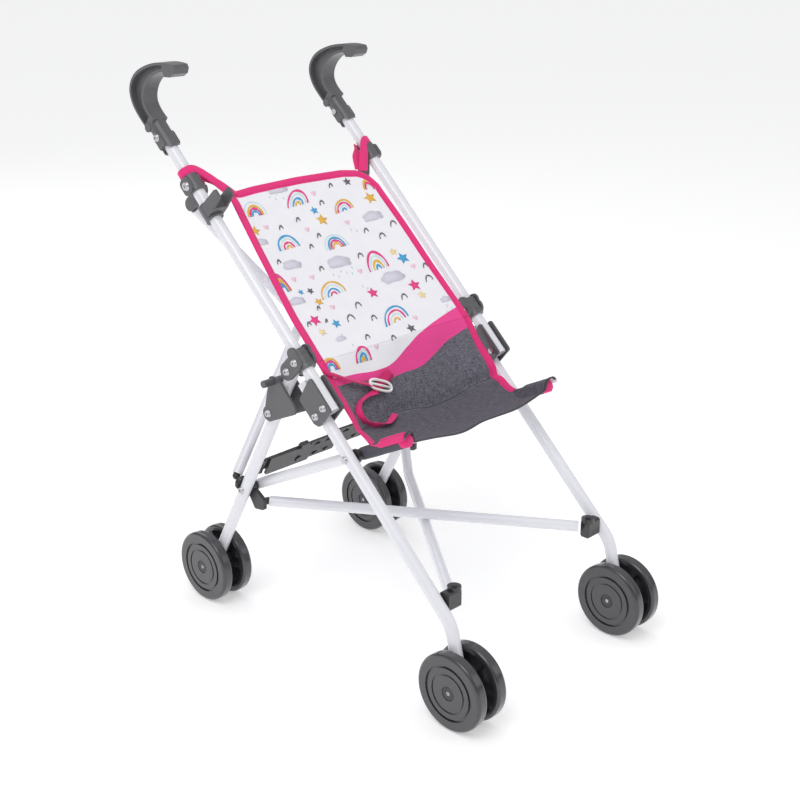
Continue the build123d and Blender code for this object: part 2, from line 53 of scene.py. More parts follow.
MIDDLE = 200.9                       # mm from the front axle to the origin
UPPER_SCREWS, ALONG, BEHIND = (204.4, 297.5), (0.7225, 0.6914), (0.6914, -0.7225)
TRACK = 118.6                        # handle tubes, from the middle
REAR_AXLE_Y = 350.7
HUB_Z, HUB_SPOT = 0.0377, 0.0019     # metres: height of the hubs, radius of their bare steel
SEAT_TUBE_X = 100.6
SEAT_FOOT = (295.4, 139.5)           # y, z of the seat tubes' bolts on the rear legs
SEAT_COS, SEAT_SIN = 0.8920, 0.4521  # slope of the seat tube
TURN = 6.2832                        # a full turn, for the waves of weave and ribs
SEAM_S = -9                          # where the back meets the seat, up the handle tubes


def point(x, y, z):
    """Point in mm, y from the front axle, as metres in the frame."""
    return Vector((x, y - MIDDLE, z)) / 1000


def on_tubes(x, s, perp):
    """Point at x, s up the handle tubes from the upper screws, perp behind them."""
    y, z = (UPPER_SCREWS[i] + s * ALONG[i] + perp * BEHIND[i] for i in (0, 1))
    return point(x, y, z)


def hexa(h):
    c = [int(h[i:i + 2], 16) / 255 for i in (0, 2, 4)]
    return tuple([x / 12.92 if x <= 0.04045 else ((x + 0.055) / 1.055) ** 2.4 for x in c] + [1.0])


def shade(colour, by):
    return tuple([min(1, c * by) for c in colour[:3]] + [1.0])


# ---------------------------------------------------------------- materials
class Mat:
    def __init__(self, name):
        self.m = bpy.data.materials.new(name)
        self.m.use_nodes = True
        self.n, self.l = self.m.node_tree.nodes, self.m.node_tree.links
        self.n.clear()
        self.out = self.n.new("ShaderNodeOutputMaterial")
        self.p = self.n.new("ShaderNodeBsdfPrincipled")
        self.l.new(self.p.outputs[0], self.out.inputs[0])

    def feed(self, socket, value):
        """Link a socket's output to an input, or set the input to a constant."""
        if isinstance(value, bpy.types.NodeSocket):
            self.l.new(value, socket)
        else:
            socket.default_value = value

    def node(self, kind, inputs=(), **props):
        n = self.n.new("ShaderNode" + kind)
        for k, v in props.items():
            setattr(n, k, v)
        for k, v in dict(inputs).items():
            self.feed(n.inputs[k], v)
        return n

    def set(self, **kw):
        for k, v in kw.items():
            self.feed(self.p.inputs[k.replace("_", " ")], v)
        return self

    def math(self, op, a, b=0.0, c=0.0, clamp=False):
        n = self.n.new("ShaderNodeMath")
        n.operation, n.use_clamp = op, clamp
        for i, v in enumerate((a, b, c)):
            self.feed(n.inputs[i], v)
        return n.outputs[0]

    def mix(self, f, a, b):
        n = self.n.new("ShaderNodeMix")
        n.data_type = "RGBA"
        for i, v in ((0, f), (6, a), (7, b)):
            self.feed(n.inputs[i], v)
        return n.outputs[2]

    def obj(self):
        return self.node("TexCoord").outputs["Object"]

    def uv(self):
        return self.node("UVMap").outputs[0]

    def noise(self, vec, scale, detail=3.0, rough=0.5, stretch=None):
        if stretch:
            vec = self.node("Mapping", {"Vector": vec, "Scale": stretch}).outputs[0]
        return self.node("TexNoise", {"Vector": vec, "Scale": scale, "Detail": detail,
                                      "Roughness": rough}).outputs["Fac"]

    def bump(self, height, strength, distance):
        n = self.node("Bump", {"Height": height, "Strength": strength, "Distance": distance})
        self.l.new(n.outputs[0], self.p.inputs["Normal"])


def solid(name, colour, rough, metal=0.0, coat=0.0, grain=700.0, depth=0.00003, vary=0.06, wear=0.1):
    """Hard finish: a little colour drift, rougher patches and a fine grain."""
    m = Mat(name)
    o = m.obj()
    big = m.noise(o, 14.0, 4.0, 0.6)
    m.set(Base_Color=m.mix(big, shade(colour, 1 - vary), shade(colour, 1 + vary)), Metallic=metal,
          Coat_Weight=coat, Coat_Roughness=0.12)
    scuff = m.noise(o, 60.0, 6.0, 0.7, (1.0, 1.0, 0.35))
    ramp = m.math("MULTIPLY_ADD", scuff, wear, rough - wear * 0.5, clamp=True)
    m.set(Roughness=ramp)
    m.bump(m.noise(o, grain, 3.0), 0.35, depth)
    return m.m


PINK = hexa("f0287f")
PAINT = solid("gloss_white_paint", hexa("e9e9ef"), 0.24, coat=0.5, grain=420, depth=0.00002, vary=0.02,
              wear=0.08)
ZINC = solid("zinc_steel", hexa("c9c9cc"), 0.34, metal=1.0, grain=1500, vary=0.1, wear=0.25)
WHEEL = solid("glossy_wheel_plastic", hexa("37363a"), 0.24, coat=0.7, grain=900, vary=0.08, wear=0.12)
GREY = solid("grey_moulded_plastic", hexa("5b5b5e"), 0.38, coat=0.15, grain=1600, depth=0.00005, vary=0.05, wear=0.12)
BLACK = solid("black_moulded_plastic", hexa("2a2a2c"), 0.30, coat=0.35, grain=1400, depth=0.00004, vary=0.08,
              wear=0.14)
WHITE_PLASTIC = solid("white_slider_plastic", hexa("f4f2f0"), 0.3, grain=900, vary=0.02)


def hub_pin(name, y):
    """Axle with a dark moulded end: only a small spot of bare steel shows in the middle of the hub."""
    m = Mat(name)
    o = m.obj()
    sep = m.node("SeparateXYZ", {"Vector": o})
    dy = m.math("SUBTRACT", sep.outputs[1], y)
    dz = m.math("SUBTRACT", sep.outputs[2], HUB_Z)
    r = m.math("SQRT", m.math("ADD", m.math("MULTIPLY", dy, dy), m.math("MULTIPLY", dz, dz)))
    steel = m.math("LESS_THAN", r, HUB_SPOT)
    moulded = m.mix(m.noise(o, 300.0), hexa("2e2d31"), hexa("3b3a3f"))
    m.set(Base_Color=m.mix(steel, moulded, hexa("c9c9cc")), Metallic=steel, Roughness=0.3)
    m.bump(m.noise(o, 1200.0), 0.3, 0.00003)
    return m.m


FRONT_PIN = hub_pin("front_hub_pin", -MIDDLE / 1000)
REAR_PIN = hub_pin("rear_hub_pin", (REAR_AXLE_Y - MIDDLE) / 1000)


def weave(m, uv, thread, strength=0.5):
    """Plain weave bump from the sheet's own millimetre UVs."""
    sep = m.node("SeparateXYZ", {"Vector": uv})
    a = m.math("SINE", m.math("MULTIPLY", sep.outputs[0], TURN / thread))
    b = m.math("SINE", m.math("MULTIPLY", sep.outputs[1], TURN / thread))
    h = m.math("MULTIPLY", a, b)
    h = m.math("ADD", m.math("MULTIPLY", h, 0.5), m.noise(uv, 0.9 / thread, 3.0, 0.6))
    m.bump(h, strength, 0.00012)
    return sep


def webbing(name, colour, rib=0.9):
    """Pink tape: ribs along it, a stitch line near its inner edge. U runs along it, V across, in mm."""
    m = Mat(name)
    uv = m.uv()
    sep = m.node("SeparateXYZ", {"Vector": uv})
    rib_h = m.math("SINE", m.math("MULTIPLY", sep.outputs[0], TURN / rib))
    n = m.noise(uv, 1.6, 3.0, 0.6)
    base = m.mix(n, shade(colour, 0.80), shade(colour, 1.16))
    dash = m.math("GREATER_THAN", m.math("SINE", m.math("MULTIPLY", sep.outputs[0], TURN / 2.6)), -0.3)
    line = m.math("LESS_THAN", m.math("ABSOLUTE", m.math("SUBTRACT", sep.outputs[1], 6.2)), 0.28)
    stitch = m.math("MULTIPLY", dash, line)
    m.set(Base_Color=m.mix(stitch, base, shade(colour, 0.55)), Roughness=0.72,
          Sheen_Weight=0.15)
    h = m.math("ADD", m.math("MULTIPLY", rib_h, 0.35), m.math("MULTIPLY", stitch, 1.2))
    m.bump(h, 0.5, 0.0002)
    return m.m


TAPE = webbing("pink_tape", PINK)
TAPE_DARK = webbing("pink_strap_tape", hexa("d4156a"))
TRIM = webbing("grey_edge_trim", hexa("3c3a44"))


def curve(m, x, points):
    """Value of y for x through the given points, both from 0 to 1."""
    n = m.node("FloatCurve", {"Value": x, "Factor": 1.0})
    c = n.mapping.curves[0]
    for i, (px, py) in enumerate(points):
        if i < 2:
            c.points[i].location = (px, py)
        else:
            c.points.new(px, py)
    n.mapping.update()
    return n.outputs[0]


BAND_TOP = [(-103, -24), (-64, -27), (-40, -28), (-14, -27), (10, -19), (32, -10), (62, -2), (103, 6)]
BAND_LOW = [(-103, -31), (-66, -33), (-34, -37), (0, -38), (22, -36), (42, -31), (66, -25), (103, -18)]


HALF_X, HALF_S = 110.0, 60.0         # the band's curves cover this much each way, in mm
FLAP_S, CREASE_SHADE_S, STITCH_S = -72.0, -71.0, -147.0


def cloth():
    """Print above the wavy pink band, grey melange below it. UVs are millimetres: x, and s up the back."""
    m = Mat("seat_cloth")
    uv = m.uv()
    sep = weave(m, uv, 0.75, 0.35)
    x, s = sep.outputs[0], sep.outputs[1]
    nx = m.math("MULTIPLY_ADD", x, 0.5 / HALF_X, 0.5)
    top_line, low_line = ([(0.5 + a / HALF_X / 2, 0.5 + b / HALF_S / 2) for a, b in pts]
                          for pts in (BAND_TOP, BAND_LOW))
    top = m.math("MULTIPLY_ADD", curve(m, nx, top_line), 2 * HALF_S, -HALF_S)
    low = m.math("MULTIPLY_ADD", curve(m, nx, low_line), 2 * HALF_S, -HALF_S)
    # grey melange: slubs along both threads
    a = m.noise(uv, 1.0, 4.0, 0.7, (0.13, 1.1, 1.0))
    b = m.noise(uv, 1.0, 4.0, 0.7, (1.1, 0.13, 1.0))
    f = m.math("MULTIPLY", m.math("ADD", a, b), 0.5)
    f = m.math("MULTIPLY_ADD", m.math("SUBTRACT", f, 0.5), 5.2, 0.46, clamp=True)
    grey = m.mix(f, hexa("44434d"), hexa("83828e"))
    flap = m.math("LESS_THAN", s, FLAP_S)
    grey = m.mix(m.math("MULTIPLY", flap, 0.45), grey, hexa("4d4651"))
    # painted shade: a dark line is painted into the grey along the fold where the lower back turns into the flap
    wavy = m.math("ADD", s, m.math("MULTIPLY", m.math("SINE", m.math("MULTIPLY", x, 0.05)), 2.5))
    crease_shade = m.math("LESS_THAN", m.math("ABSOLUTE", m.math("SUBTRACT", wavy, CREASE_SHADE_S)), 0.55)
    grey = m.mix(m.math("MULTIPLY", crease_shade, 0.7), grey, hexa("232128"))
    stitched = m.math("LESS_THAN", m.math("ABSOLUTE", m.math("SUBTRACT", s, STITCH_S)), 0.5)
    grey = m.mix(stitched, grey, hexa("2b2930"))
    white = m.mix(m.noise(uv, 0.05, 3.0), hexa("f1f0f7"), hexa("fbfafd"))
    pink = m.mix(m.noise(uv, 0.8, 4.0, 0.6), hexa("ea2f88"), hexa("fb57a6"))
    col = m.mix(m.math("LESS_THAN", s, top), white, pink)
    col = m.mix(m.math("LESS_THAN", s, low), col, grey)
    m.set(Base_Color=col, Roughness=0.82, Sheen_Weight=0.08)
    return m.m


def plain_cloth(name, colour):
    m = Mat(name)
    uv = m.uv()
    weave(m, uv, 0.75, 0.3)
    n = m.noise(uv, 0.6, 4.0, 0.6)
    m.set(Base_Color=m.mix(n, shade(colour, 0.93), colour), Roughness=0.85)
    return m.m


CLOTH = cloth()
LINING = plain_cloth("white_lining", hexa("eceef6"))
POCKET = plain_cloth("grey_pocket_cloth", hexa("55535e"))

# ---------------------------------------------------------------- CAD pieces
SLOTS = {"white_paint": PAINT, "zinc": ZINC, "wheel_plastic": WHEEL, "grey_plastic": GREY,
         "black_plastic": BLACK}
slot_of = {p["node"]: p["material_slot"] for p in frame["record"]["subparts"]}
for name, o in frame["nodes"].items():
    m = SLOTS.get(slot_of.get(name))
    if name.endswith("_axle"):
        m = FRONT_PIN if "front" in name else REAR_PIN
    if m is not None:
        o.data.materials.clear()
        o.data.materials.append(m)


def mesh(name, verts, faces, mats, uvs, mat_index=None):
    me = bpy.data.meshes.new(name)
    me.from_pydata([tuple(v) for v in verts], [], faces)
    for m in mats:
        me.materials.append(m)
    layer = me.uv_layers.new(name="UVMap")
    loops = np.zeros(len(me.loops), int)
    me.loops.foreach_get("vertex_index", loops)
    layer.data.foreach_set("uv", np.asarray(uvs, float)[loops].reshape(-1))
    if mat_index is not None:
        me.polygons.foreach_set("material_index", mat_index)
    me.polygons.foreach_set("use_smooth", [True] * len(me.polygons))
    o = bpy.data.objects.new(name, me)
    bpy.context.scene.collection.objects.link(o)
    me.update()
    return o


def spline(pts, t):
    """Catmull-Rom through rows of numbers, t from 0 to 1."""
    pts = np.asarray(pts, float)
    n = len(pts) - 1
    q = min(max(t * n, 0), n - 1e-9)
    i = int(q)
    f = q - i
    a, b, c, d = (pts[min(max(i + k, 0), n)] for k in (-1, 0, 1, 2))
    return 0.5 * (2 * b + (c - a) * f + (2 * a - 5 * b + 4 * c - d) * f * f + (3 * b - a - 3 * c + d) * f ** 3)


# ---------------------------------------------------------------- the sling's two surfaces
TOP_EDGE = ([-97, -93, -60, 0, 60, 80, 90, 96, 100], [185, 188, 191, 192.5, 190.5, 187, 181, 173, 160])
SIDE_S = [-9, 40, 120, 190]
LEFT_X = [-108.5, -107.5, -100, -91.5]       # the buggy's right-hand edge, at -X
RIGHT_X = [103, 102, 100, 97.5]
PERP = -5.0
SEAT_LENGTH = 142.0
EDGE = [(194.4, 294.9), (182, 275), (166, 258), (150, 242.5), (133, 232), (115, 232), (98, 236.5), (81, 246)]
CENTRE = [(194.4, 294.9), (187, 272), (177, 250), (166.5, 231), (147, 223.5), (126, 222), (106, 226), (88, 233)]


def back_point(u, v):
    """u from -1 at the right-hand edge to 1, v from 0 at the seat to 1 at the top."""
    x = 0.0
    s = SEAM_S + v * 199
    for _ in range(3):
        a, b = np.interp(s, SIDE_S, LEFT_X), np.interp(s, SIDE_S, RIGHT_X)
        x = a + (b - a) * (u + 1) / 2
        s = SEAM_S + v * (np.interp(x, *TOP_EDGE) - SEAM_S)
    w = 1 - u * u
    sag = 5.5 * w * math.sin(math.pi * min(1, v * 0.96))
    lift = 1.0 * noise.noise(Vector((x * 0.012, s * 0.016, 3.1))) * min(1.0, 6 * v)
    near = math.exp(-((x + 68) / 14) ** 2) * min(1.0, 5 * v) * max(0.0, 1 - v * 1.2)
    lift += 1.1 * near * math.sin(s * 0.11)
    return x, s, PERP + sag + lift


def back(u, v, off=0.0):
    x, s, perp = back_point(u, v)
    return on_tubes(x, s, perp - off)


SIDE_V = [0, 0.12, 0.30, 0.55, 0.72, 1.0]
SEAT_LEFT = [-108.5, -105, -102, -101.5, -107.8, -107.8]
SEAT_RIGHT = [103, 104.5, 104.5, 102, 107.8, 107.8]
SLEEVE = 7.3                         # the cloth lies over the seat tube at this distance from its axis


def seat_sides(v):
    return np.interp(v, SIDE_V, SEAT_LEFT), np.interp(v, SIDE_V, SEAT_RIGHT)


def seat_x(u, v):
    a, b = seat_sides(v)
    return a + (u + 1) / 2 * (b - a)


def seat_v(s):
    return (SEAM_S - s) / SEAT_LENGTH


def seat_u(x, v):
    a, b = seat_sides(v)
    return min(1, max(-1, (x - a) / (b - a) * 2 - 1))


def over_tube(x, y, z, v):
    """Height of the cloth where its front corners lie over the ends of the seat tubes."""
    dx = abs(x) - SEAT_TUBE_X
    share = min(1.0, max(0.0, (v - 0.60) / 0.14))
    if abs(dx) > SLEEVE + 0.01 or share == 0:
        return z
    axis = SEAT_FOOT[1] + (SEAT_FOOT[0] - y) / SEAT_COS * SEAT_SIN
    top = axis + math.sqrt(max(0.0, SLEEVE ** 2 - dx * dx)) / SEAT_COS
    return z + (max(z, top) - z) * share


def seat(u, v, off=0.0):
    """u from -1 to 1 across, v from 0 at the back to 1 at the front edge."""
    e, c = spline(EDGE, v), spline(CENTRE, v)
    w = 1 - abs(u) ** 2.4
    y, z = e * (1 - w) + c * w
    x = seat_x(u, v)
    edge = min(1.0, 8 * v)
    y += edge * (1.6 * noise.noise(Vector((x * 0.02, v * 2.2, 1.7))))
    z += edge * (1.8 * noise.noise(Vector((x * 0.035, v * 3.0, 8.2))) * (0.4 + 0.6 * w))
    front = max(0.0, (v - 0.8) / 0.2)
    z += front * 1.8 * math.sin(x * 0.075 + 0.8)
    # the fold where the lower back turns into the flap, sharpest on the left
    fold = math.exp(-((v - 0.43 - 0.02 * math.sin(x * 0.05)) / 0.035) ** 2) * (0.5 + 0.5 * (u + 1) / 2)
    y += 2.4 * fold
    z -= 3.6 * fold
    ripple = math.exp(-((v - 0.62) / 0.14) ** 2) * math.sin(x * 0.052 + 7.0 * v)
    z += 1.7 * ripple
    # gathers running down from the band
    y += edge * 2.4 * max(0.0, 1 - v * 2.2) * math.sin(x * 0.095 + 1.0 + 2.0 * v) * w
    z = over_tube(x, y, z, v)
    ahead = [m * (1 - w) + q * w for m, q in zip(spline(EDGE, v + 0.02), spline(CENTRE, v + 0.02))]
    behind = [m * (1 - w) + q * w for m, q in zip(spline(EDGE, v - 0.02), spline(CENTRE, v - 0.02))]
    ty, tz = ahead[0] - behind[0], ahead[1] - behind[1]
    size = math.hypot(ty, tz)
    return point(x, y + off * tz / size, z - off * ty / size)


def grid(name, f, nu, nv, mats, uv):
    verts, uvs = [], []
    for j in range(nv + 1):
        for i in range(nu + 1):
            u, v = -1 + 2 * i / nu, j / nv
            verts.append(f(u, v))
            uvs.append(uv(u, v))
    faces = [(j * (nu + 1) + i, j * (nu + 1) + i + 1, (j + 1) * (nu + 1) + i + 1, (j + 1) * (nu + 1) + i)
             for j in range(nv) for i in range(nu)]
    return mesh(name, verts, faces, mats, uvs)


def soft(o, body):
    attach(o, body)
    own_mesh(o)
    return o


back_cloth = grid("back_cloth", back, 96, 100, [CLOTH, LINING], lambda u, v: back_point(u, v)[:2])
seat_cloth = grid("seat_cloth", seat, 144, 84, [CLOTH, LINING],
                  lambda u, v: (seat_x(u, v), SEAM_S - v * SEAT_LENGTH))
seat_cloth.data.flip_normals()
for o in (back_cloth, seat_cloth):
    sol = o.modifiers.new("thickness", "SOLIDIFY")
    sol.thickness, sol.offset, sol.material_offset, sol.use_rim = 0.0007, 0.0, 1, True


def section(name, rows, profile, mats, closed=False):
    """Sweeps a closed profile of (across, up) along rows of (point, across, up) vectors in metres."""
    verts, uvs, faces = [], [], []
    n = len(profile)
    run = 0.0
    for k, (p, a, b) in enumerate(rows):
        if k:
            run += (p - rows[k - 1][0]).length * 1000
        for q, (c, d) in enumerate(profile):
            verts.append(p + a * (c / 1000) + b * (d / 1000))
            uvs.append((run, c))
    m = len(rows)
    for k in range(m if closed else m - 1):
        for q in range(n):
            a0, a1 = k * n + q, k * n + (q + 1) % n
            b0, b1 = ((k + 1) % m) * n + q, ((k + 1) % m) * n + (q + 1) % n
            faces.append((a0, a1, b1, b0))
    if not closed:
        faces.append(tuple(range(n))[::-1])
        faces.append(tuple((m - 1) * n + q for q in range(n)))
    return mesh(name, verts, faces, mats, uvs)


BIND = [(-0.5, 0), (-0.1, 0.8), (0.8, 1.1), (7.8, 0.95), (8.2, 0.55), (8.2, -0.55), (7.8, -0.95), (0.8, -1.1),
        (-0.1, -0.8)]


def binding(name, surf, path, mats=None, profile=BIND, steps=40, turn=1):
    """Folded tape round the edge of a surface. path holds (u, v) corners along the edge."""
    uvp = []
    for a, b in zip(path[:-1], path[1:]):
        uvp += [(a[0] + (b[0] - a[0]) * i / steps, a[1] + (b[1] - a[1]) * i / steps) for i in range(steps)]
    uvp.append(path[-1])
    pts = [surf(*q) for q in uvp]
    rows = []
    for i, q in enumerate(uvp):
        u, v = q
        du = (surf(min(u + 0.02, 1), v) - surf(max(u - 0.02, -1), v)).normalized()
        dv = (surf(u, min(v + 0.02, 1)) - surf(u, max(v - 0.02, 0))).normalized()
        nrm = du.cross(dv).normalized() * turn
        t = (pts[min(i + 3, len(pts) - 1)] - pts[max(i - 3, 0)]).normalized()
        inward = nrm.cross(t).normalized()
        if (surf(u * 0.9, 0.05 + v * 0.9) - pts[i]).dot(inward) < 0:
            inward = -inward
        rows.append((pts[i], inward, nrm))
    return section(name, rows, profile, mats or [TAPE])


edge_back = binding("back_binding", back, [(-1, 0), (-1, 1), (1, 1), (1, 0)])
edge_right = binding("seat_binding_right", seat, [(-1, 0), (-1, 0.985)], turn=-1)
edge_left = binding("seat_binding_left", seat, [(1, 0), (1, 0.60)], turn=-1)
HEM = [(-0.4, 0), (0, 0.8), (2.6, 0.75), (2.9, 0.4), (2.9, -0.4), (2.6, -0.75), (0, -0.8)]
hem = binding("front_hem", seat, [(-0.99, 1), (0.99, 1)], [TRIM], HEM, steps=90, turn=-1)


def ribbon(name, rows, mats, thick=0.9, steps=10):
    """Tape through rows of (point in mm, half-width vector in mm)."""
    flat = [list(p) + list(w) for p, w in rows]
    n = (len(flat) - 1) * steps
    q = [spline(flat, i / n) for i in range(n + 1)]
    out = []
    for i, r in enumerate(q):
        t = Vector(q[min(i + 1, n)][:3]) - Vector(q[max(i - 1, 0)][:3])
        w = Vector(r[3:])
        h = w.length
        up = t.cross(w).normalized()
        out.append((point(*r[:3]), w.normalized(), up, h))
    verts, uvs, faces, run = [], [], [], 0.0
    for k, (p, a, b, h) in enumerate(out):
        if k:
            run += (p - out[k - 1][0]).length * 1000
        for c, d in ((-1, -0.35), (-0.93, -0.5), (0.93, -0.5), (1, -0.35), (1, 0.35), (0.93, 0.5), (-0.93, 0.5),
                     (-1, 0.35)):
            verts.append(p + a * (c * h / 1000) + b * (d * thick / 1000))
            uvs.append((run, 3.5 + c * h))
    for k in range(len(out) - 1):
        for j in range(8):
            faces.append((k * 8 + j, k * 8 + (j + 1) % 8, (k + 1) * 8 + (j + 1) % 8, (k + 1) * 8 + j))
    faces += [tuple(range(8))[::-1], tuple((len(out) - 1) * 8 + j for j in range(8))]
    return mesh(name, verts, faces, mats, uvs)


def mm(v):
    """Frame point in metres, back to the millimetres that point() takes."""
    return (v.x * 1000, v.y * 1000 + MIDDLE, v.z * 1000)


def tube_row(x, s, perp, w):
    """Row on the handle tube's axes, w = (x, s, perp) half-width."""
    p = mm(on_tubes(x, s, perp))
    return p, (w[0], w[1] * ALONG[0] + w[2] * BEHIND[0], w[1] * ALONG[1] + w[2] * BEHIND[1])


def top_strap(side):
    """Tape from the top corner of the back, round the handle tube just above its bracket, and back."""
    k, loop = side, 221.0
    rows = [tube_row(k * 88, 184, -6.6, (k * 5.4, -1.0, 0)), tube_row(k * 95, 194, -7.4, (k * 4.6, -2.4, 0)),
            tube_row(k * 104, 207, -8.6, (k * 3.4, -3.4, 0)), tube_row(k * 112, 218, -8.6, (k * 1.6, -4.2, 0)),
            tube_row(k * TRACK, loop, -8.4, (0, -4.4, 0)), tube_row(k * 126.4, loop, -3.4, (0, -4.4, 0)),
            tube_row(k * 126.2, loop, 3.6, (0, -4.4, 0)), tube_row(k * TRACK, loop, 8.2, (0, -4.4, 0)),
            tube_row(k * 110.4, loop, 4.0, (0, -4.4, 0)), tube_row(k * 103, loop - 9, -1.4, (k * 2.0, -4.0, 0)),
            tube_row(k * 94, 203, -3.0, (k * 4.0, -3.0, 0)), tube_row(k * 86, 188, -4.4, (k * 5.0, -1.0, 0))]
    return ribbon("top_strap_" + ("right" if side < 0 else "left"), rows, [TAPE])


straps = {s: top_strap(s) for s in (-1, 1)}


def on_seat(x, s, off, w):
    """Row lying on the seat: x and s in mm, w = (across, down the seat, away from it) half-width."""
    v = seat_v(s)
    u = seat_u(x, v)
    p = seat(u, v, off)
    du = (seat(min(1, u + 0.02), v) - seat(u - 0.02, v)).normalized()
    dv = (seat(u, v + 0.02) - seat(u, max(0, v - 0.02))).normalized()
    n = dv.cross(du).normalized()
    return mm(p), tuple(du * w[0] + dv * w[1] + n * w[2])


lap = ribbon("lap_strap_tape", [
    on_seat(-106, -19, 1.4, (0.4, 3.8, 1.0)), on_seat(-92, -25, 4.5, (0.8, 3.0, 1.8)),
    on_seat(-76, -33, 6.5, (0.8, 2.8, 2.0)), on_seat(-56, -39, 6.0, (0.8, 3.0, 1.6)),
    on_seat(-44, -41, 4.0, (0.8, 3.4, 0.4)), on_seat(-32, -37, 3.4, (1.2, 3.4, 0.3)),
    on_seat(-26, -34, 3.9, (1.2, 3.2, 0.4)), on_seat(-30, -33, 5.4, (1.2, 3.2, 0.3)),
    on_seat(-42, -38.5, 5.4, (1.0, 3.2, 0.3)), on_seat(-54, -44, 5.6, (0.8, 3.2, 0.6))], [TAPE_DARK])
tail = ribbon("lap_strap_tail", [
    on_seat(-52, -45, 4.6, (0.5, 3.2, 0.6)), on_seat(-66, -47, 4.2, (0.3, 1.6, 2.4)),
    on_seat(-81, -51, 4.0, (0.2, 0.6, 3.2)), on_seat(-88, -59, 3.8, (0.6, 0.2, 3.2)),
    on_seat(-85, -68, 3.8, (0.4, 0.6, 3.1)), on_seat(-74, -76, 3.8, (0.2, 1.0, 3.0)),
    on_seat(-60, -80, 3.6, (0.2, 2.6, 2.0)), on_seat(-50, -77, 3.6, (0.6, 3.2, 0.8)),
    on_seat(-38, -71, 3.8, (1.4, 3.0, 0.4))], [TAPE])


RING_STEPS = 40


def ring_rows(cx, cs, off, a, b, ang):
    """Rounded oblong of points lying off the seat, turned by ang."""
    rows = []
    ca, sa = math.cos(ang), math.sin(ang)
    p0, ax = on_seat(cx, cs, off, (1, 0, 0))
    _, ay = on_seat(cx, cs, off, (0, 1, 0))
    ax, ay = Vector(ax), Vector(ay)
    for i in range(RING_STEPS):
        t = 2 * math.pi * i / RING_STEPS
        lx = a * math.copysign(abs(math.cos(t)) ** 0.6, math.cos(t))
        ly = b * math.copysign(abs(math.sin(t)) ** 0.8, math.sin(t))
        rows.append(Vector(p0) + ax * (lx * ca - ly * sa) + ay * (lx * sa + ly * ca))
    return rows


def wire(name, pts, r, mats, closed):
    """Round bar through points in mm."""
    prof = [(r * math.cos(2 * math.pi * i / 12), r * math.sin(2 * math.pi * i / 12)) for i in range(12)]
    rows = []
    n = len(pts)
    up0 = Vector((0, 0.75, 0.66))
    for i, p in enumerate(pts):
        a, b = (pts[(i + 1) % n], pts[i - 1]) if closed else (pts[min(i + 1, n - 1)], pts[max(i - 1, 0)])
        t = (a - b).normalized()
        side = t.cross(up0).normalized()
        rows.append((point(*p), side, side.cross(t).normalized()))
    return section(name, rows, prof, mats, closed=closed)


ring = ring_rows(-47, -41, 7.0, 12.5, 5.2, 0.40)
slider = wire("strap_slider", ring, 1.35, [WHITE_PLASTIC], True)
bar = wire("strap_slider_bar", [ring[0] * (1 - t) + ring[RING_STEPS // 2] * t for t in (0.03, 0.5, 0.97)], 1.2,
           [WHITE_PLASTIC], False)


def pocket(side):
    """Cloth sleeve of the sling on the front end of the seat tube."""
    foot, link = Vector(SEAT_FOOT), Vector((-152.9, 77.5)).normalized()
    n = 20
    prof = [(math.cos(2 * math.pi * i / n), math.sin(2 * math.pi * i / n)) for i in range(n)]
    verts, uvs, faces = [], [], []
    stations = [(170, 5.9), (172, 6.2), (190, 6.2), (210, 6.2), (229, 6.2), (236.2, 6.1), (237.6, 5.0), (238, 1.0)]
    for d, r in stations:
        c = foot + link * d
        for i, (a, b) in enumerate(prof):
            k = 1 + 0.05 * math.sin(3 * i + d)
            verts.append(point(side * SEAT_TUBE_X + r * k * a,
                           c.x + link.y * r * k * b, c.y - link.x * r * k * b))
            uvs.append((i * 2.0, d))
    for j in range(len(stations) - 1):
        for i in range(n):
            faces.append((j * n + i, j * n + (i + 1) % n, (j + 1) * n + (i + 1) % n, (j + 1) * n + i))
    faces.append(tuple((len(stations) - 1) * n + i for i in range(n)))
    idx = [1 if f // n >= 4 else 0 for f in range(len(faces))]
    return mesh("tube_pocket_" + ("right" if side < 0 else "left"), verts, faces, [POCKET, TAPE], uvs, idx)


pockets = {s: pocket(s) for s in (-1, 1)}

# ---------------------------------------------------------------- printed motifs
INK = {"p": "ee2f8a", "y": "edb736", "b": "33a3da", "m": "d3eef0", "d": "635a66", "l": "fbcfe2", "c": "dad8e5",
       "w": "cdebed", "k": "f7dfa0", "g": "6a626c"}
KEYS = list(INK)


def ink(k):
    m = Mat("ink_" + k)
    uv = m.uv()
    c = hexa(INK[k])
    n = m.noise(uv, 1.3, 4.0, 0.7)
    f = m.math("MULTIPLY_ADD", n, 1.4, -0.40, clamp=True)
    pale = tuple([x * 0.72 + 0.25 for x in c[:3]] + [1])
    m.set(Base_Color=m.mix(m.math("MULTIPLY", f, 0.55), c, pale), Roughness=0.85)
    return m.m


INKS = [ink(k) for k in KEYS]
ink_verts, ink_faces, ink_index, ink_uvs = [], [], [], []


def to_uv(x, s):
    """Position on the back for a point in mm."""
    v = (s - SEAM_S) / (np.interp(x, *TOP_EDGE) - SEAM_S)
    a, b = np.interp(s, SIDE_S, LEFT_X), np.interp(s, SIDE_S, RIGHT_X)
    return (x - a) / (b - a) * 2 - 1, v


def place(x, s, lift):
    if s >= SEAM_S:
        u, v = to_uv(x, s)
        return back(min(1, max(-1, u)), min(1, max(0, v)), lift)
    v = seat_v(s)
    return seat(seat_u(x, v), v, lift)


def strip(outer, inner, key, lift):
    """Ink between two lines of (x, s)."""
    base = len(ink_verts)
    for a, b in zip(outer, inner):
        for q in (a, b):
            ink_verts.append(place(q[0], q[1], lift))
            ink_uvs.append(q)
    for i in range(len(outer) - 1):
        ink_faces.append([base + 2 * i, base + 2 * i + 1, base + 2 * i + 3, base + 2 * i + 2])
        ink_index.append(KEYS.index(key))


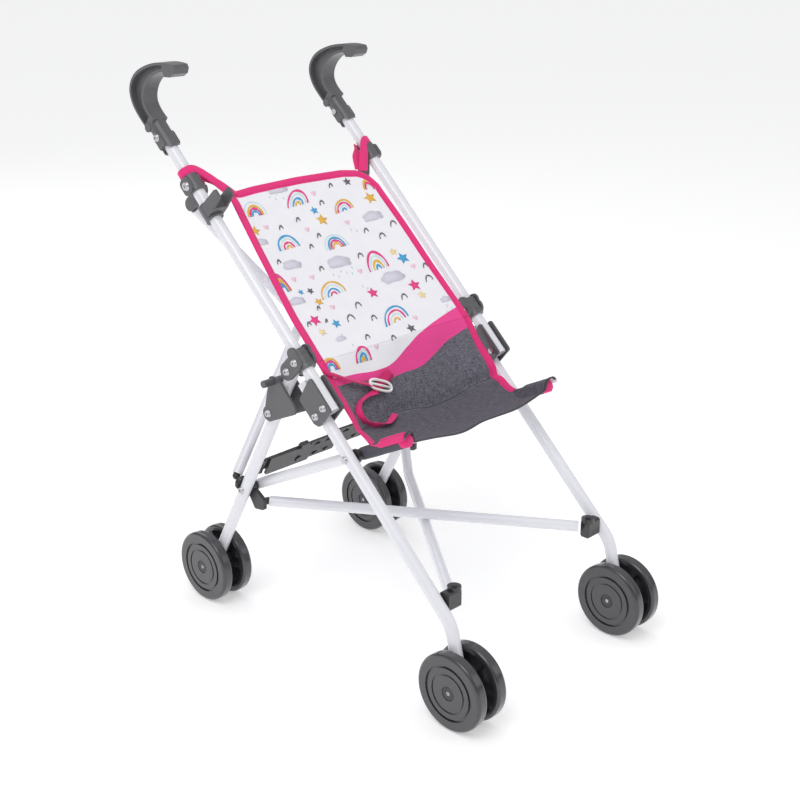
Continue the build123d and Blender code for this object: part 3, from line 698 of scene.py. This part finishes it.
def blob(points, key, lift):
    base = len(ink_verts)
    cx, cs = np.mean([p[0] for p in points]), np.mean([p[1] for p in points])
    ink_verts.append(place(cx, cs, lift))
    ink_uvs.append((cx, cs))
    for q in points:
        ink_verts.append(place(q[0], q[1], lift))
        ink_uvs.append(q)
    n = len(points)
    for i in range(n):
        ink_faces.append((base, base + 1 + i, base + 1 + (i + 1) % n))
        ink_index.append(KEYS.index(key))


def arch(left, right, top, key, width, lift=0.62, k=1.0, n=18):
    """Half-ellipse band through two feet and a top, scaled by k about its base."""
    mx, ms = (left[0] + right[0]) / 2, (left[1] + right[1]) / 2
    hx, hs = (right[0] - left[0]) / 2 * k, (right[1] - left[1]) / 2 * k
    tx, ts = (top[0] - mx) * k, (top[1] - ms) * k
    size = max(1.0, math.hypot(hx, hs))
    out, inn = [], []
    for i in range(n + 1):
        t = math.pi * (1 - i / n)
        w = width * (1 + 0.18 * math.sin(5 * t + mx))
        for r, store in ((1.0, out), (1 - w / size, inn)):
            store.append((mx + hx * math.cos(t) * r + tx * math.sin(t) * r,
                          ms + hs * math.cos(t) * r + ts * math.sin(t) * r))
    strip(out, inn, key, lift)


RAINBOWS = [  # left foot, right foot, top, colours from outside in
            ((-85, 158), (-64, 158), (-72, 171), "ypb"), ((-32, 160), (-2, 162), (-10, 179), "pmby"),
            ((23, 143), (50, 146), (39, 158), "ypmb"), ((-72, 115), (-43, 117), (-56, 132), "bmpy"),
            ((-11, 105), (13, 106), (2, 119), "bpy"), ((20, 70), (48, 71), (38, 93), "pmyb"),
            ((-58, 53), (-23, 57), (-38, 71), "ymbp"), ((-6, 6), (30, 11), (17, 27), "bpmy"),
            ((-62, -20), (-42, -20), (-51, -5), "pmby"), ((-103, 68), (-86, 71), (-95, 92), "pyb"),
            ((-104, -19), (-84, -20), (-95, -7), "ypb"), ((76, 163), (92, 160), (85, 174), "ypm")]
for left, right, top, keys in RAINBOWS:
    for i, key in enumerate(keys):
        arch(left, right, top, key, 2.0 if key != "m" else 1.4, k=1 - 0.24 * i)
for a, b, c in (((-15, 105), (17, 106), (2, 122)), ((-89, 158), (-60, 158), (-72, 175))):
    arch(a, b, c, "m", 1.2)
for x, s, w in ((36, 176, 6), (13, 159, 7), (-28, 146, 6), (-54, 141, 6), (-14, 124, 6), (-31, 114, 6), (47, 117, 7),
                (62, 106, 9), (84, 116, 9), (-82, 104, 6), (21, 91, 8), (-36, 87, 7), (90, 60, 7), (-70, 46, 5),
                (-21, 38, 9), (40, 33, 9), (84, 44, 11), (-40, 26, 11), (-13, 20, 8), (-92, 32, 6), (-36, 2, 7),
                (-7, -7, 7), (-70, 31, 4)):
    arch((x - w / 2, s - 3), (x + w / 2, s - 2), (x + 1.2, s + w * 0.45), "g", 1.35)


def star(x, s, r, key):
    pts = []
    for i in range(10):
        q = r if i % 2 == 0 else r * 0.48
        t = math.pi / 2 + math.pi * i / 5 + 0.35 * math.sin(x + s)
        pts.append((x + q * math.cos(t) * 1.1, s + q * math.sin(t)))
    blob(pts, key, 0.63)


for x, s, r, key in ((-92, 173, 4.6, "d"), (60, 176, 5, "d"), (-65, 66, 4, "d"), (22, -3, 5.4, "d"),
                     (-87, 142, 6, "y"), (2, 140, 6.8, "y"), (77, 152, 7.4, "y"), (-64, 52, 5, "y"),
                     (63, 85, 5, "k"), (63, 29, 5, "k"), (-82, 20, 4.6, "k"), (-1, 152, 4.8, "b"), (70, 75, 7.2, "b"),
                     (-60, 25, 5.2, "b"), (-77, 67, 3.4, "b"), (-82, 34, 6.6, "p"), (7, 47, 6.6, "p"),
                     (62, 42, 7.4, "p")):
    star(x, s, r, key)


def heart(x, s, r):
    pts = []
    for i in range(20):
        t = 2 * math.pi * i / 20
        pts.append((x + r * math.sin(t) ** 3,
                    s + r * (13 * math.cos(t) - 5 * math.cos(2 * t) - 2 * math.cos(3 * t)) / 16))
    blob(pts, "l", 0.6)


for x, s in ((-71, 144), (-23, 133), (31, 131), (10, 171), (-53, 80), (9, 74), (-52, 43), (76, 63), (-32, -11),
             (36, 7), (-76, 82)):
    heart(x, s, 3.2)


def cloud(x, s, w):
    pts = []
    for i in range(44):
        t = 2 * math.pi * i / 44
        bump = 1 + 0.16 * abs(math.sin(3 * t + x))
        pts.append((x + w * bump * math.cos(t), s + w * 0.52 * bump * max(-0.62, math.sin(t))))
    blob(pts, "c", 0.58)


for x, s, w in ((66, 130, 12), (-88, 128, 8), (-68, 97, 11), (-9, 89, 14), (43, 57, 14), (-88, 58, 9), (88, 16, 7),
                (-32, 183, 12), (-66, 8, 6)):
    cloud(x, s, w)
for x, s in ((-26, 77), (-20, 74), (-14, 79), (-8, 76), (2, 80), (-2, 74), (30, 122), (36, 119), (-46, 176),
             (-40, 173), (-36, 178), (-30, 172), (0, 57), (4, 53), (88, 4), (84, 9), (80, 3), (-58, -2), (-62, 12)):
    blob([(x - 0.8, s - 1.4), (x + 0.8, s - 1.0), (x + 1.0, s + 1.5), (x - 0.4, s + 1.4)], "w", 0.6)
ink_back = mesh("printed_motifs", ink_verts, ink_faces, INKS, ink_uvs, ink_index)
sol = ink_back.modifiers.new("ink_skin", "SOLIDIFY")
sol.thickness, sol.offset = 0.0001, 0.0
for o in (back_cloth, edge_back, ink_back):
    soft(o, "right_handle")
for o in (seat_cloth, edge_right, edge_left, hem, lap, tail, slider, bar):
    soft(o, "right_seat_link")
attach(straps[-1], "right_handle")
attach(straps[1], "left_handle")
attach(pockets[-1], "right_seat_link")
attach(pockets[1], "left_seat_link")

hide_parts("seat_back")
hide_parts("seat_base")
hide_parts("lap_strap")
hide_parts("right_back_strap")
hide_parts("left_back_strap")

# ---------------------------------------------------------------- floor, light, camera
bpy.ops.mesh.primitive_plane_add(size=40, location=(0, 0, -0.0002))
floor = bpy.context.object
floor.name = "studio_floor"
f = Mat("white_floor")
f.set(Base_Color=(0.86, 0.86, 0.86, 1), Roughness=0.9, Emission_Color=(1, 1, 1, 1), Emission_Strength=0.36)
floor.data.materials.append(f.m)

world = bpy.data.worlds.new("studio")
bpy.context.scene.world = world
world.use_nodes = True
sky = world.node_tree.nodes
coord, split, height = (sky.new("ShaderNode" + k) for k in ("TexCoord", "SeparateXYZ", "ValToRGB"))
world.node_tree.links.new(coord.outputs["Generated"], split.inputs[0])
world.node_tree.links.new(split.outputs[2], height.inputs[0])
SKY = ((0.07, 0.9), (0.16, 0.24), (0.9, 0.8))     # height, brightness
stops = height.color_ramp.elements
stops[0].position, stops[1].position = SKY[0][0], SKY[-1][0]
stops.new(SKY[1][0])
for stop, (_, value) in zip(stops, SKY):
    stop.color = (value, value, value, 1)
world.node_tree.links.new(height.outputs[0], sky["Background"].inputs[1])
sky["Background"].inputs[0].default_value = (0.98, 0.985, 1, 1)


def area(name, loc, target, size, power):
    light = bpy.data.lights.new(name, "AREA")
    light.size, light.energy = size, power
    o = bpy.data.objects.new(name, light)
    o.location = loc
    o.rotation_euler = (Vector(target) - Vector(loc)).to_track_quat("-Z", "Y").to_euler()
    bpy.context.scene.collection.objects.link(o)


area("key_light", (-1.3, -0.5, 2.0), (0, 0, 0.25), 1.3, 15)
area("fill_light", (1.0, -1.9, 1.3), (0, 0, 0.25), 1.3, 5)
area("back_light", (0.4, 1.8, 1.6), (0, 0, 0.3), 1.2, 6)

camera = bpy.data.cameras.new("photo_view")
camera.lens, camera.sensor_width, camera.clip_start = 61.53, 36.0, 0.01
cam = bpy.data.objects.new("photo_view", camera)
cam.location = (-0.9186, -0.9017, 0.7061)
cam.rotation_mode = "QUATERNION"
cam.rotation_quaternion = Vector((0.6719, 0.6537, -0.3482)).to_track_quat("-Z", "Y")
bpy.context.scene.collection.objects.link(cam)
bpy.context.scene.camera = cam
bpy.context.scene.view_settings.view_transform = "Standard"
